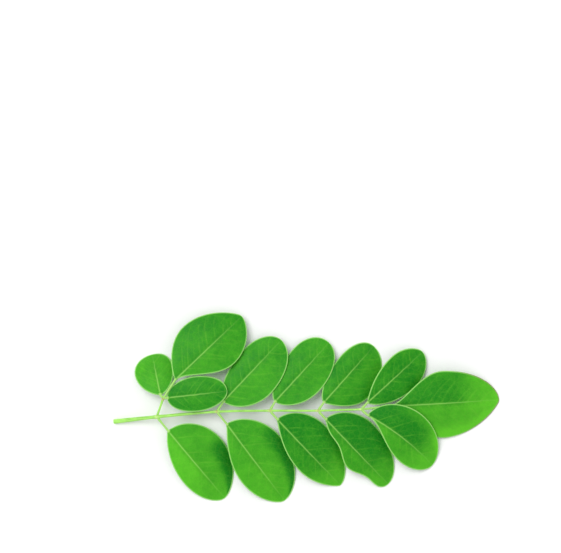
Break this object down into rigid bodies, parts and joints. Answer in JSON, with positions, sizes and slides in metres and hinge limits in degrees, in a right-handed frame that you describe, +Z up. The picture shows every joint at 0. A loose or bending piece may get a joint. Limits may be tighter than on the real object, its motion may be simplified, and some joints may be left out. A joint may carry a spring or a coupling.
{
  "type": "moringa leaf sprig",
  "caption": "Cut side branch of a compound leaf, lying flat: a thin green stalk with paired oval leaflets, a forked side stalk and a larger end leaflet.",
  "frame": {"origin": "middle of the sprig's bounding box in plan, on the surface that it lies on", "axes": "+X along the stalk from its cut end towards the end leaflet, +Y across it towards the upper row of leaflets, +Z up, away from the surface and on the leaflets' upper face"},
  "size_m": [0.0872, 0.043, 0.0051],
  "materials": {
    "stalk": "satin",
    "leaflet": "satin"
  },
  "bodies": {
    "root": {"rachis": "stalk", "side_stalk": "stalk", "leaflet_lower_1": "leaflet", "leaflet_lower_2": "leaflet", "leaflet_lower_3": "leaflet", "leaflet_lower_4": "leaflet", "leaflet_lower_5": "leaflet", "leaflet_upper_2": "leaflet", "leaflet_upper_3": "leaflet", "leaflet_upper_4": "leaflet", "leaflet_upper_5": "leaflet", "leaflet_terminal": "leaflet", "leaflet_side_left": "leaflet", "leaflet_side_middle": "leaflet", "leaflet_side_right": "leaflet"}
  },
  "joints": []
}
